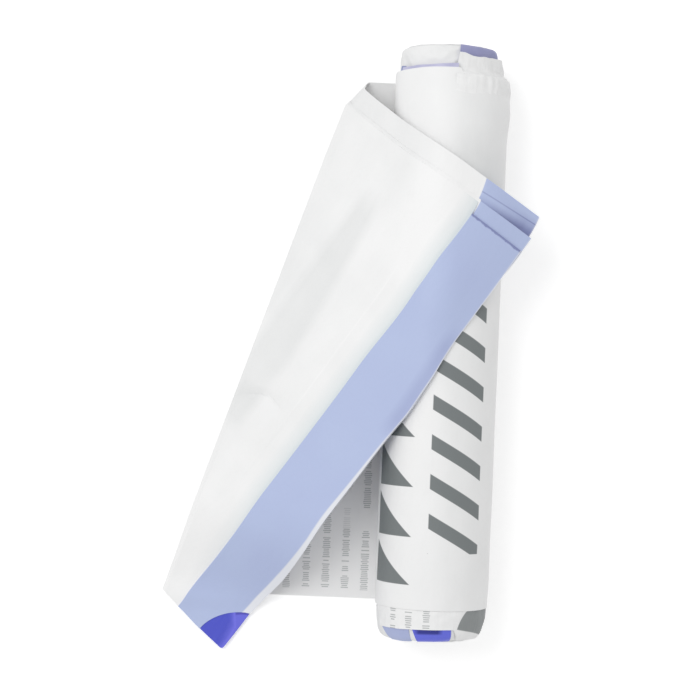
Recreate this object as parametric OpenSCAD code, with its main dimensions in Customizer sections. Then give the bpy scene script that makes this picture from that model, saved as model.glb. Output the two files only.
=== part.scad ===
// Roll of folded drawstring bags, lying on its side. The outer bag is pulled off from under
// the roll, folded back on a slanting crease and laid over the top, hem outward.
// The axis of the roll runs along Y at X = 0, the floor is Z = 0 and the middle of the roll is Y = 0.

/* [Roll] */
// Diameter over the outermost turn
roll_dia = 56; // [50:1:62]
// Length of one turn along the roll, which is the width of a bag folded in half
bag_w = 260; // [245:1:290]
// How far the soft roll is pressed flat where it rests
flat_depth = 0.5; // [0.3:0.1:1]
// Space between the outermost turn and the turns inside it
turn_gap = 0.3; // [0.2:0.05:0.5]
// How far the inner turns stand out of the outermost one at each end
end_rise = 13.5; // [9:0.5:18]
// Radius from the eye to where the stepped shoulder of the end starts
shoulder_r = 16; // [13:0.5:18]
// Number of turns that show as steps on the shoulder
shoulder_turns = 7; // [4:1:9]
// Width of the oval eye in the middle of the winding
eye_w = 11; // [8:0.5:14]
// Height of the oval eye
eye_h = 4.5; // [3:0.5:6]
// Depth to which the eye stays open
eye_depth = 16; // [8:1:30]
// Number of turns that show on the flat of each end
face_turns = 4; // [3:1:5]
// Width of the groove between two turns
groove_w = 0.9; // [0.6:0.1:1.2]
// Depth of the groove between two turns
groove_depth = 1.6; // [1:0.1:2.5]

/* [Outer bag] */
// Thickness of the folded bag: four plies and the air between them
film_t = 0.9; // [0.7:0.05:1.1]
// Length pulled off the roll, from under its axis to the edge of the hem
pulled_run = 174; // [168:1:190]
// Film between the crease and the hem at the lower tip, where the crease is farthest from the roll
tip_film = 10.4; // [6:0.2:16]
// Distance of the crease from the axis, at the upper end of the roll
crease_x = 47; // [42:0.5:52]
// Height to which the flap lifts the crease off the floor
crease_lift = 16.5; // [10:0.5:22]
// Height of the crease at the upper end of the roll
crease_lift_end = 2; // [1:0.5:12]
// Inner gap of the crease
crease_gap = 0.3; // [0.2:0.05:0.5]
// Space between the flap and the roll under it
flap_gap = 0.3; // [0.2:0.05:0.6]
// Angle at which the free end of the flap droops past the top of the roll
flap_droop = 8.5; // [4:0.5:12]
// How far the plies splay at the two free corners of the flap
splay = 4; // [0:0.5:6]
// How far the crease is rounded off at the upper end
crease_round = 6.2; // [3:0.2:9]

/* [Hem] */
// Width of the hem
hem_w = 30; // [28:1:36]
// Extra thickness of the hem, which is double and holds the drawstring
hem_extra = 0.4; // [0.3:0.05:0.6]
// Thickness of the lowest ply, which shows at the upper edge of the flap
ply_t = 0.45; // [0.35:0.05:0.55]
// How far the lowest ply stands out past the others
ply_step = 12; // [9:0.5:15]
// How far the lowest ply stands out past the end of the hem
hem_step = 19.5; // [17:0.5:24]
// Length of the hand hole along the hem
cut_len = 22; // [16:0.5:26]
// Depth of the hand hole across the hem
cut_deep = 14.6; // [11:0.2:18]

/* [Drawstring] */
// Width of the drawstring tape
tape_w = 25; // [20:0.5:26]
// Thickness of the drawstring tape
tape_t = 0.3; // [0.2:0.05:0.35]
// Space round the tape in its channel
tape_gap = 0.2; // [0.15:0.05:0.25]
// Distance from the edge of the hem to the tape
tape_margin = 1.5; // [1:0.1:2]
// Angle round the roll over which the tape of an inner bag shows at the lower end
tape_turn = 44; // [30:1:60]
// Space between that tape and the turns under it
end_tape_gap = 0.25; // [0.2:0.05:0.4]

/* [Hidden] */
$fn = 64;
roll_r = roll_dia / 2;
half_w = bag_w / 2;
axis_z = roll_r - flat_depth;
inner_r = roll_r - film_t - turn_gap;
spot_half = sqrt(roll_r * roll_r - axis_z * axis_z);
// Angle between the crease and the axis of the roll
crease_tilt = atan((pulled_run - hem_w - tip_film - crease_x) / bag_w);
tilt_c = cos(crease_tilt);
tilt_s = sin(crease_tilt);
bend_r = (film_t + crease_gap) / 2;
flap_r = roll_r + flap_gap + film_t / 2;
lift_from = 12;
// The crease rises between the first two distances from the lower end and sinks again in the last stretch
rise_start = 5;
rise_len = 45;
sink_len = 45;
// The flap lies flat at the lower tip and is pulled straight by the roll past this stretch
flat_tip = 8;
taut_len = 55;
// The lower tip drops to the floor past the edge of the sheet, and the corners splay over this length
drop_from = 1;
drop_len = 9;
splay_len = 40;
// Second order term of the length of an ellipse, the shape in which the flap meets the roll
oval = 1 / (tilt_c * tilt_c) - 1;
// Half the width of a step in the film, and how far a cutter reaches past the hem
nudge = 0.2;
past_hem = 4;
// The shoulder of an end: how far it stands in from the rim, and how square it is
shoulder_inset = 0.8;
shoulder_square = 3.2;
// The tape at the lower end: its first angle from the top, its lap on the side and the turns it covers
tape_turn_from = 21;
tape_lap = 1;
tape_turns = 3;
// The strip at the end of the hem where the tape is sealed in
seal_w = 4;
// How finely the film is divided: shares of the sheet and of the bend, and numbers of steps
SHEET_STEPS = [0, 0.3, 0.55, 0.8, 1];
BEND_STEPS = [0.2, 0.5, 0.8];
FLAP_N = 19;
HEM_N = 6;
ROWS = 34;
WHITE = "#f1f2f4";
FILM = "#e9ebee";
BLUE = "#5c5fce";

function smooth(x) = let (k = max(0, min(1, x))) k * k * (3 - 2 * k);
function along(a, b, k) = a + (b - a) * k;
function unit(v) = v / norm(v);
function radians(a) = a * PI / 180;
function degrees(a) = a * 180 / PI;

// Height of the crease at a place along the roll
function lift_at(y) = crease_lift * smooth((y + half_w - rise_start) / rise_len)
    * along(1, crease_lift_end / crease_lift, smooth((y - half_w + sink_len) / sink_len));

// Distance of the crease from the axis, measured along the sheet
function crease_u(y) = crease_x + (half_w - y) * tan(crease_tilt);
function round_at(y) = crease_round * max(0, (y - half_w + ply_step) / ply_step);
function crease_end(y) = crease_u(y) - round_at(y);

// The sheet between the roll and the crease: flat on the floor, then rising
function rise_share(u, y) = max(0, (u - lift_from) / (crease_u(y) - lift_from));
function sheet_at(u, y) = [-u, y, film_t / 2 + lift_at(y) * pow(rise_share(u, y), 2)];
function sheet_slope(u, y) = atan(tilt_c * 2 * lift_at(y) * rise_share(u, y) / (crease_u(y) - lift_from));

// Place along the crease, and distance from it, of a point of the flap laid out flat
function crease_a(u, y) = (crease_x - u) * tilt_s + (y - half_w) * tilt_c;
function crease_b(u, y) = (u - crease_x) * tilt_c + (y - half_w) * tilt_s;
function crease_point(a) = [-crease_x + a * tilt_s, half_w + a * tilt_c];

// The flap leaves the crease straight, touches the roll, follows it over the top and droops.
// In the upright plane square to the crease the roll is an oval, so lengths round it are stretched.
function touch_angle(far, z0) = atan2(axis_z - z0, far) + asin(flap_r / norm([far, axis_z - z0]));
function straight_part(far, z0, touch) =
    [(far - flap_r * sin(touch)) / tilt_c, axis_z + flap_r * cos(touch) - z0];
function round_len(touch, t) = flap_r * ((1 + oval / 4) * radians(touch - t)
    + oval / 8 * (sin(2 * touch) - sin(2 * t)));
function round_guess(touch, s) = touch - degrees(s / (flap_r * (1 + oval / 4)));
function round_angle(touch, s) = let (t = round_guess(touch, s))
    t + degrees((round_len(touch, t) - s) / (flap_r * (1 + oval / 2 * pow(cos(t), 2))));
function on_roll(far, t) = [(far - flap_r * sin(t)) / tilt_c, axis_z + flap_r * cos(t)];
function past_roll(far, s) = on_roll(far, -flap_droop)
    + s * unit([cos(flap_droop) / tilt_c, -sin(flap_droop)]);
function over_roll(far, touch, s) = let (t = round_angle(touch, s))
    t >= -flap_droop ? on_roll(far, t) : past_roll(far, s - round_len(touch, -flap_droop));
function flap_profile(far, z0, b, pull) = let (touch = touch_angle(far, z0))
    let (line = straight_part(far, z0, touch), slope = pull * atan2(line[1], line[0]))
    b <= norm(line) || pull < 1 ? [0, z0] + b * [cos(slope), sin(slope)]
    : over_roll(far, touch, b - norm(line));
function pull_at(y) = smooth((y + half_w - flat_tip) / taut_len);
function tip_drop(y) = (film_t + crease_gap) * smooth((-half_w - drop_from - y) / drop_len);
function flap_folded(a, b) = let (p = crease_point(a), z0 = film_t / 2 + lift_at(p[1]) + 2 * bend_r)
    let (q = flap_profile(-p[0], z0, b, pull_at(p[1])))
    let (x = p[0] + q[0] * tilt_c, y = p[1] - q[0] * tilt_s)
    [x, y, q[1] - tip_drop(y)];

// The free corners splay along the hem, and the rounded end of the crease draws the flap in beside it
function splay_share(u, y) = (u - crease_u(y)) / (pulled_run - crease_u(y));
function splayed(u, y) = y + splay * splay_share(u, y)
    * (smooth((y - half_w + splay_len) / splay_len) - smooth((splay_len - half_w - y) / splay_len));
function flap_free(u, y) = let (v = splayed(u, y)) flap_folded(crease_a(u, v), crease_b(u, v));
function flap_start(y) = let (u = crease_end(y)) sheet_at(u, y) + [0, 0, 2 * bend_r];
function flap_at(u, y) = let (join = crease_u(y) + 2 * round_at(y))
    u >= join ? flap_free(u, y)
    : along(flap_start(y), flap_free(join, y), (u - crease_end(y)) / max(nudge, join - crease_end(y)));

// Faces outward: down under the sheet and up on the flap
function flap_normal(u, y) = unit(cross(
    flap_at(u + nudge, y) - flap_at(u - nudge, y), flap_at(u, y + nudge) - flap_at(u, y - nudge)));
function sheet_normal(u, y) = unit(cross(
    sheet_at(u + nudge, y) - sheet_at(u - nudge, y), sheet_at(u, y + nudge) - sheet_at(u, y - nudge)));

// Thickness of the film, with the steps of the plies and of the hem
function hem_top(y) = y > half_w - ply_step ? ply_t + hem_extra / 2
    : y > half_w - hem_step ? film_t : film_t + hem_extra;
function film_top(y) = y > half_w - ply_step ? ply_t : film_t;
function outer_at(u, y) = (u > pulled_run - hem_w ? hem_top(y) : film_top(y)) - film_t / 2;

// One row of points across the film. side is 1 on the outer face and 0 on the inner one.
function sheet_us(y) = concat([spot_half / 2],
    [for (k = SHEET_STEPS) along(lift_from, crease_end(y), k)]);
function weld_us() = [pulled_run - hem_w - nudge, pulled_run - hem_w + nudge];
function flap_us(y) = concat(
    [for (i = [0 : FLAP_N]) along(crease_end(y), weld_us()[0], i / FLAP_N)],
    [for (i = [0 : HEM_N]) along(weld_us()[1], pulled_run, i / HEM_N)]);
function face_offset(side, top) = side == 1 ? top : -film_t / 2;
function sheet_point(u, y, side) = sheet_at(u, y) + sheet_normal(u, y) * face_offset(side, film_t / 2);
function flap_point(u, y, side) = flap_at(u, y) + flap_normal(u, y) * face_offset(side, outer_at(u, y));
function bend_point(y, k, side) = let (u = crease_end(y), p = sheet_at(u, y))
    let (rise = pull_at(y) * touch_angle(u, p[2]), turn = along(270 - sheet_slope(u, y), 90 + rise, k))
    let (r = bend_r + face_offset(side, film_t / 2))
    p + [0, 0, bend_r] + r * [cos(turn) * tilt_c, -cos(turn) * tilt_s, sin(turn)];
function film_row(y, side) = concat(
    [for (u = sheet_us(y)) sheet_point(u, y, side)],
    [for (k = BEND_STEPS) bend_point(y, k, side)],
    [for (u = flap_us(y)) flap_point(u, y, side)]);

// Rows along the roll, close together at the steps of the plies
function film_rows() = concat(
    [for (i = [0 : ROWS]) along(-half_w, half_w - hem_step - nudge, i / ROWS)],
    [half_w - hem_step + nudge, half_w - ply_step - nudge, half_w - ply_step + nudge],
    [for (k = [2, 1, 0]) half_w - ply_step * k / 3]);

// A closed skin over two equal grids of points, the outer face first
module skin(outer, inner) {
    rows = len(outer);
    cols = len(outer[0]);
    points = concat([for (row = outer) each row], [for (row = inner) each row]);
    back = rows * cols;
    rim = concat(
        [for (j = [0 : cols - 1]) j],
        [for (i = [1 : rows - 1]) i * cols + cols - 1],
        [for (j = [cols - 2 : -1 : 0]) (rows - 1) * cols + j],
        [for (i = [rows - 2 : -1 : 1]) i * cols]);
    cells = [for (i = [0 : rows - 2], j = [0 : cols - 2]) i * cols + j];
    faces = concat(
        [for (c = cells) each [[c, c + cols, c + 1], [c + 1, c + cols, c + cols + 1]]],
        [for (c = cells) each [[back + c, back + c + 1, back + c + cols],
            [back + c + 1, back + c + cols + 1, back + c + cols]]],
        [for (i = [0 : len(rim) - 1]) let (a = rim[i], b = rim[(i + 1) % len(rim)])
            each [[a, b, back + a], [b, back + b, back + a]]]);
    polyhedron(points, faces, convexity = 8);
}

// A strip that lies within the hem, between two heights over the inner face of the film
module hem_strip(u0, u1, y0, y1, low, high) {
    us = [for (i = [0 : HEM_N]) along(u0, u1, i / HEM_N)];
    ys = [for (i = [0 : ROWS]) along(y0, y1, i / ROWS)];
    function at(u, y, h) = flap_at(u, y) + flap_normal(u, y) * (h - film_t / 2);
    skin([for (y = ys) [for (u = us) at(u, y, high)]], [for (y = ys) [for (u = us) at(u, y, low)]]);
}

// Quarter oval hand hole at the folded middle of the bag, where the hem is open and shows the tape
module hand_hole() {
    tip = flap_at(pulled_run, -half_w);
    across = unit(flap_at(pulled_run - cut_deep, -half_w) - tip);
    up = unit(flap_at(pulled_run, cut_len - half_w) - tip);
    arc = [for (a = [0 : 7.5 : 90]) cos(a) * cut_deep * across + sin(a) * cut_len * up];
    past = [cut_len * up - past_hem * across, -past_hem * (across + up), cut_deep * across - past_hem * up];
    translate([tip[0], tip[1], -past_hem]) linear_extrude(tip[2] + 3 * past_hem)
        polygon([for (p = concat(arc, past)) [p[0], p[1]]]);
}

// Section of a turn, pressed flat on the floor
module turn_section(r, floor_z) {
    intersection() {
        translate([0, axis_z]) circle(r);
        translate([-roll_r, floor_z]) square([2 * roll_r, 2 * roll_r]);
    }
}

// Turns a section that is drawn in X and Z so that it runs along the roll
module along_roll(length) {
    translate([0, length / 2, 0]) rotate([90, 0, 0]) linear_extrude(length) children();
}

// Radius and height of each turn on the rounded shoulder of an end, 0 being the flat in the middle
function turn_r(i) = along(shoulder_r, inner_r - shoulder_inset, i / shoulder_turns);
function turn_h(i) = end_rise * sqrt(1 - pow(max(0, i - 0.5) / shoulder_turns, shoulder_square));
function shoulder() = concat([[0, -1], [0, end_rise]],
    [for (i = [0 : shoulder_turns - 1]) each [[turn_r(i), turn_h(i)], [turn_r(i), turn_h(i + 1)]]],
    [[turn_r(shoulder_turns), turn_h(shoulder_turns)], [turn_r(shoulder_turns), -1]]);

module face_groove() {
    r0 = eye_w / 2 + groove_w;
    r1 = shoulder_r - groove_w;
    step = 15;
    last = 360 * face_turns / step;
    function r_at(i) = along(r0, r1, i / last);
    rail = [for (i = [0 : last]) [cos(i * step), sin(i * step)] * r_at(i)];
    inner = [for (i = [0 : last]) [cos(i * step), sin(i * step)] * (r_at(i) - groove_w)];
    polygon(concat(rail, [for (i = [last : -1 : 0]) inner[i]]));
}

module eye() {
    run = eye_w - eye_h;
    square([run, eye_h], center = true);
    for (x = [-run / 2, run / 2]) translate([x, 0]) circle(eye_h / 2);
}

// Stands what is drawn along Z on an end of the roll: 0 is the upper end and 180 the lower one
module at_end(side) {
    translate([0, 0, axis_z]) rotate([0, 0, side]) translate([0, half_w, 0]) rotate([-90, 0, 0]) children();
}

// One end of the winding, with the turns stepping down to the rim
module winding_end() {
    difference() {
        rotate_extrude() polygon(shoulder());
        translate([0, 0, end_rise - groove_depth]) linear_extrude(groove_depth + 1) face_groove();
        translate([0, 0, end_rise - eye_depth]) linear_extrude(eye_depth + 1) rotate(20) eye();
    }
}

module wound_bags() {
    color(WHITE) {
        along_roll(bag_w) turn_section(inner_r, film_t + turn_gap);
        for (s = [0, 180]) at_end(s) winding_end();
    }
}

module outer_bag() {
    rows = film_rows();
    color(FILM) difference() {
        union() {
            along_roll(bag_w) difference() {
                turn_section(roll_r, 0);
                turn_section(roll_r - film_t, film_t);
            }
            skin([for (y = rows) film_row(y, 1)], [for (y = rows) film_row(y, 0)]);
        }
        drawstring_channel();
        hand_hole();
    }
}

module drawstring_channel() {
    wall = (film_t + hem_extra - tape_t) / 2 - tape_gap;
    hem_strip(pulled_run - tape_margin - tape_w - tape_gap, pulled_run - tape_margin + tape_gap,
        tape_margin - half_w - tape_gap, half_w - hem_step - seal_w + tape_gap,
        wall, film_t + hem_extra - wall);
}

module outer_drawstring() {
    wall = (film_t + hem_extra - tape_t) / 2;
    color(BLUE) hem_strip(pulled_run - tape_margin - tape_w, pulled_run - tape_margin,
        tape_margin - half_w, half_w - hem_step - seal_w, wall, wall + tape_t);
}

// Bare tape of an inner bag, lying on the lower end of the winding
module inner_drawstring() {
    first = shoulder_turns - 1;
    function lifted(i, d) = [turn_r(i), turn_h(i)] + d * unit([i, shoulder_turns - i + 1]);
    function line(d) = concat([[turn_r(first) + d, turn_h(first + 1) + tape_lap]],
        [for (i = [first : -1 : first - tape_turns]) lifted(i, d)]);
    under = line(end_tape_gap);
    over = line(end_tape_gap + tape_t);
    color(BLUE) at_end(180) rotate(270 - tape_turn_from) rotate_extrude(angle = tape_turn)
        polygon(concat(under, [for (i = [len(over) - 1 : -1 : 0]) over[i]]));
}

wound_bags();
outer_bag();
outer_drawstring();
inner_drawstring();
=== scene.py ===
"""Roll of drawstring bags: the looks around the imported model.

Lengths are in millimetres until a mesh is made.
"""

import math

import bpy
import numpy as np
from mathutils import Matrix, Vector


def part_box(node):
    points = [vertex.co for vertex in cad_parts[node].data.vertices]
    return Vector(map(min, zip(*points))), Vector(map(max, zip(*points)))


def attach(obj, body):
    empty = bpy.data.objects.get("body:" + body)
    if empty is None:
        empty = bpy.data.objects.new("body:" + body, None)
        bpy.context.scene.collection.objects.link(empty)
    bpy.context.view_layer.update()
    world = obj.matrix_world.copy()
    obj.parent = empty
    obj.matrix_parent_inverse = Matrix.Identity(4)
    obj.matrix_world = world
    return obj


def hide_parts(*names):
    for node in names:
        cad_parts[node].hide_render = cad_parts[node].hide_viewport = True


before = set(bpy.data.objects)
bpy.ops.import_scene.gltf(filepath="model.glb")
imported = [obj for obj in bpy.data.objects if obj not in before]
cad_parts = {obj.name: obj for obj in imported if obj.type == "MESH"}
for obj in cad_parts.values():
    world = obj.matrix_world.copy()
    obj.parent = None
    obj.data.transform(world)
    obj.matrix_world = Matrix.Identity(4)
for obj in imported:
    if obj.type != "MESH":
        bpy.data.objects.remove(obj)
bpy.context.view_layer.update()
MM = 0.001

# The roll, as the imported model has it
wound_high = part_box("wound_bags")[1]
roll_r = 28.0
half_w = 130.0
flat_depth = 0.5
film_t = 0.9
turn_gap = 0.3
end_rise = wound_high.y / MM - half_w
shoulder_r = 16.0
shoulder_inset = 0.8
eye_w = 11.0
eye_h = 4.5
eye_depth = 16.0
eye_r = (eye_w + eye_h) / 4
eye_reach = 9.0
eye_tilt = math.radians(20)
axis_z = roll_r - flat_depth
inner_r = roll_r - film_t - turn_gap
rim_r = inner_r - shoulder_inset

# The outer bag: its run, its crease and the way in which the flap lies over the roll
pulled_run = 174.0
hem_w = 30.0
tip_film = 10.4
crease_x = 47.0
crease_lift = 16.5
crease_lift_end = 2.0
crease_gap = 0.3
crease_round = 6.2
flap_gap = 0.3
flap_droop = math.radians(8.5)
splay = 4.0
splay_len = 40.0
lift_from = 12.0
rise_start = 5.0
rise_len = 45.0
sink_len = 45.0
flat_tip = 8.0
taut_len = 55.0
drop_from = 1.0
drop_len = 9.0
outer_film_end = half_w - 12.0
outer_hem_end = half_w - 18.0
middle_film_end = half_w - 10.4
middle_hem_end = half_w - 11.0
ply_step = 12.0
cut_len = 20.4
cut_deep = 14.6
cut_power = 0.77
tape_w = 25.0
tape_margin = 1.5
tape_fold_lean = 0.2
tape_fold_turn = 12.0
tape_fold_bent = 0.8
seal_w = 4.0
rib_u = 129.6

crease_tilt = math.atan((pulled_run - hem_w - tip_film - crease_x) / (2 * half_w))
tilt_c = math.cos(crease_tilt)
tilt_s = math.sin(crease_tilt)
bend_r = (film_t + crease_gap) / 2
flap_r = roll_r + flap_gap + film_t / 2
oval = 1 / tilt_c**2 - 1
weld_u = pulled_run - hem_w
spot_half = math.sqrt(roll_r**2 - axis_z**2)
nudge = 0.2


def smooth(x):
    k = np.clip(x, 0, 1)
    return k * k * (3 - 2 * k)


def along(a, b, k):
    return a + (b - a) * k


def points(x, y, z):
    """Three arrays of any shapes that fit together, as one array of points."""
    return np.stack(np.broadcast_arrays(x, y, z), axis=-1).astype(float)


def unit(v):
    return v / np.linalg.norm(v, axis=-1, keepdims=True)


def hump(x, width):
    """1 at x = 0, falling softly to nothing about a width away."""
    return np.exp(-(x / width) ** 2)


# The film laid out flat: u runs the way the bag is pulled, y runs along the roll
def lift_at(y):
    rise = smooth((y + half_w - rise_start) / rise_len)
    sink = smooth((y - half_w + sink_len) / sink_len)
    return crease_lift * rise * along(1, crease_lift_end / crease_lift, sink)


def crease_u(y):
    return crease_x + (half_w - y) * math.tan(crease_tilt)


def round_at(y):
    return crease_round * np.maximum(0, (y - half_w + ply_step) / ply_step)


def crease_end(y):
    return crease_u(y) - round_at(y)


def rise_share(u, y):
    return np.maximum(0, (u - lift_from) / (crease_u(y) - lift_from))


def sheet_at(u, y):
    return points(-u, y, film_t / 2 + lift_at(y) * rise_share(u, y) ** 2)


def sheet_slope(u, y):
    return np.arctan(tilt_c * 2 * lift_at(y) * rise_share(u, y) / (crease_u(y) - lift_from))


def pull_at(y):
    return smooth((y + half_w - flat_tip) / taut_len)


def touch_angle(far, z0):
    """Angle from the top of the roll at which a straight flap from the crease meets it."""
    return np.arctan2(axis_z - z0, far) + np.arcsin(flap_r / np.hypot(far, axis_z - z0))


def round_len(touch, turn):
    swing = np.sin(2 * touch) - np.sin(2 * turn)
    return flap_r * ((1 + oval / 4) * (touch - turn) + oval / 8 * swing)


def flap_profile(far, z0, b, pull):
    """Distance from the crease and height of the flap, b along it, on an upright plane square to it."""
    touch = touch_angle(far, z0)
    reach = (far - flap_r * np.sin(touch)) / tilt_c
    rise = axis_z + flap_r * np.cos(touch) - z0
    line = np.hypot(reach, rise)
    slope = pull * np.arctan2(rise, reach)
    guess = touch - (b - line) / (flap_r * (1 + oval / 4))
    turn = guess + (round_len(touch, guess) - (b - line)) / (flap_r * (1 + oval / 2 * np.cos(guess) ** 2))
    past = np.maximum(0, b - line - round_len(touch, -flap_droop))
    turn = np.maximum(turn, -flap_droop)
    out = unit(np.array([math.cos(flap_droop) / tilt_c, -math.sin(flap_droop)]))
    over_x = (far - flap_r * np.sin(turn)) / tilt_c + past * out[0]
    over_z = axis_z + flap_r * np.cos(turn) + past * out[1]
    straight = (b <= line) | (pull < 1)
    return np.where(straight, b * np.cos(slope), over_x), np.where(straight, z0 + b * np.sin(slope), over_z)


def splayed(u, y):
    share = (u - crease_u(y)) / (pulled_run - crease_u(y))
    upper = smooth((y - half_w + splay_len) / splay_len)
    lower = smooth((splay_len - half_w - y) / splay_len)
    return y + splay * share * (upper - lower)


def flap_free(u, y):
    v = splayed(u, y)
    a = (crease_x - u) * tilt_s + (v - half_w) * tilt_c
    b = (u - crease_x) * tilt_c + (v - half_w) * tilt_s
    px = -crease_x + a * tilt_s
    py = half_w + a * tilt_c
    q, z = flap_profile(-px, film_t / 2 + lift_at(py) + 2 * bend_r, b, pull_at(py))
    low = py - q * tilt_s
    drop = (film_t + crease_gap) * smooth((-half_w - drop_from - low) / drop_len)
    return points(px + q * tilt_c, low, z - drop)


def flap_at(u, y):
    join = crease_u(y) + 2 * round_at(y)
    start = sheet_at(crease_end(y), y) + np.array([0, 0, 2 * bend_r])
    share = (u - crease_end(y)) / np.maximum(nudge, join - crease_end(y))
    drawn_in = along(start, flap_free(join, y), share[..., None])
    return np.where((u >= join)[..., None], flap_free(u, y), drawn_in)


def normal_of(surface, u, y):
    du = surface(u + nudge, y) - surface(u - nudge, y)
    dy = surface(u, y + nudge) - surface(u, y - nudge)
    return unit(np.cross(du, dy))


def bend_at(k, y, depth):
    """A point of the crease, k from 0 at the sheet to 1 at the flap, depth out from the film's middle."""
    u = crease_end(y)
    p = sheet_at(u, y)
    low = math.radians(270) - sheet_slope(u, y)
    high = math.radians(90) + pull_at(y) * touch_angle(u, p[..., 2])
    turn = along(low, high, k)
    r = bend_r + depth
    return p + points(r * np.cos(turn) * tilt_c, -r * np.cos(turn) * tilt_s, bend_r + r * np.sin(turn))


# Slow waves with no pattern to them, the same on every run
def waves(x, y, size, seed):
    """A smooth field of about -1 to 1 whose bumps are about size across."""
    rng = np.random.default_rng(seed)
    total = np.zeros(np.broadcast(x, y).shape)
    count = 9
    for _ in range(count):
        way = rng.uniform(0, 2 * math.pi)
        pitch = size * rng.uniform(1.2, 2.8)
        start = rng.uniform(0, 2 * math.pi)
        total += np.sin((x * math.cos(way) + y * math.sin(way)) * 2 * math.pi / pitch + start)
    return total / math.sqrt(count)


# Meshes
sharp_edge = math.radians(35)


def mesh_piece(name, verts, faces, finish, lay=None):
    """Makes an object at the origin from points in millimetres.

    lay is a vector for each point, which the finish reads.
    """
    mesh = bpy.data.meshes.new(name)
    mesh.from_pydata((np.asarray(verts) * MM).tolist(), [], faces)
    if lay is not None:
        attribute = mesh.attributes.new("lay", "FLOAT_VECTOR", "POINT")
        attribute.data.foreach_set("vector", np.asarray(lay, np.float32).ravel())
    mesh.materials.append(finish)
    mesh.polygons.foreach_set("use_smooth", [True] * len(mesh.polygons))
    mesh.set_sharp_from_angle(angle=sharp_edge)
    mesh.update()
    obj = bpy.data.objects.new(name, mesh)
    bpy.context.scene.collection.objects.link(obj)
    return obj


def shell_faces(rows, cols, wrap=False):
    """Quads of a closed shell over two grids of points, the outer one first.

    wrap joins the last column to the first.
    """
    back = rows * cols
    last = cols if wrap else cols - 1

    def at(i, j):
        return i * cols + j % cols

    faces = []
    for i in range(rows - 1):
        for j in range(last):
            a, b, c, d = at(i, j), at(i, j + 1), at(i + 1, j + 1), at(i + 1, j)
            faces.append((a, b, c, d))
            faces.append((back + a, back + d, back + c, back + b))
    for j in range(last):
        a, b = at(0, j), at(0, j + 1)
        faces.append((a, back + a, back + b, b))
        a, b = at(rows - 1, j), at(rows - 1, j + 1)
        faces.append((a, b, back + b, back + a))
    if not wrap:
        for i in range(rows - 1):
            a, b = at(i, 0), at(i + 1, 0)
            faces.append((a, b, back + b, back + a))
            a, b = at(i, cols - 1), at(i + 1, cols - 1)
            faces.append((a, back + a, back + b, b))
    return faces


def shell(name, outer, inner, finish, lay, wrap=False, number=1):
    """A closed shell. Its faces share lay, apart from the third value: number outside and 0 inside."""
    rows, cols = outer.shape[:2]
    verts = np.concatenate([outer.reshape(-1, 3), inner.reshape(-1, 3)])
    lay_outer = lay.reshape(-1, 3).copy()
    lay_inner = lay_outer.copy()
    lay_outer[:, 2] = number
    lay_inner[:, 2] = 0
    faces = shell_faces(rows, cols, wrap)
    return mesh_piece(name, verts, faces, finish, np.concatenate([lay_outer, lay_inner]))


# Finishes
class Value:
    """A socket of a node, so that masks and shapes can be written as sums and products."""

    def __init__(self, nodes, socket):
        self.nodes = nodes
        self.socket = socket

    def math(self, operation, *others):
        return self.nodes.math(operation, self, *others)

    def __add__(self, other):
        return self.math("ADD", other)

    def __sub__(self, other):
        return self.math("SUBTRACT", other)

    def __mul__(self, other):
        return self.math("MULTIPLY", other)

    def __truediv__(self, other):
        return self.math("DIVIDE", other)

    def __pow__(self, other):
        return self.math("POWER", other)

    def __radd__(self, other):
        return self.nodes.math("ADD", other, self)

    def __rsub__(self, other):
        return self.nodes.math("SUBTRACT", other, self)

    def __rmul__(self, other):
        return self.nodes.math("MULTIPLY", other, self)


class Nodes:
    """A tree of nodes, of a finish or of a shape."""

    def node(self, kind, settings=(), inputs=(), output=0):
        """Adds a node, sets it, then fills or links its sockets, and gives one of its outputs."""
        made = self.tree.nodes.new(kind)
        for name, value in dict(settings).items():
            setattr(made, name, value)
        for name, value in dict(inputs).items():
            if isinstance(value, Value):
                self.tree.links.new(value.socket, made.inputs[name])
            else:
                made.inputs[name].default_value = value
        return Value(self, made.outputs[output]) if made.outputs else made

    def math(self, operation, *values):
        return self.node("ShaderNodeMath", {"operation": operation}, dict(enumerate(values)))

    def clamp(self, value):
        return self.node("ShaderNodeClamp", {}, {"Value": value})

    def split(self, vector):
        parts = self.node("ShaderNodeSeparateXYZ", {}, {0: vector}).socket.node
        return [Value(self, s) for s in parts.outputs]

    def join(self, x, y, z=0.0):
        return self.node("ShaderNodeCombineXYZ", {}, {0: x, 1: y, 2: z})

    def noise(self, vector, scale, detail=2.0, rough=0.5):
        settings = {"noise_dimensions": "3D"}
        values = {"Vector": vector, "Scale": scale, "Detail": detail, "Roughness": rough}
        return self.node("ShaderNodeTexNoise", settings, values)

    def seen_directly(self):
        """1 where the camera sees a surface, also by a reflection or through something clear."""
        path = self.node("ShaderNodeLightPath", {}, {}, 0).socket.node
        rays = ("Is Camera Ray", "Is Glossy Ray", "Is Transmission Ray")
        seen = [Value(self, path.outputs[ray]) for ray in rays]
        return self.clamp(seen[0] + seen[1] + seen[2])


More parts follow.
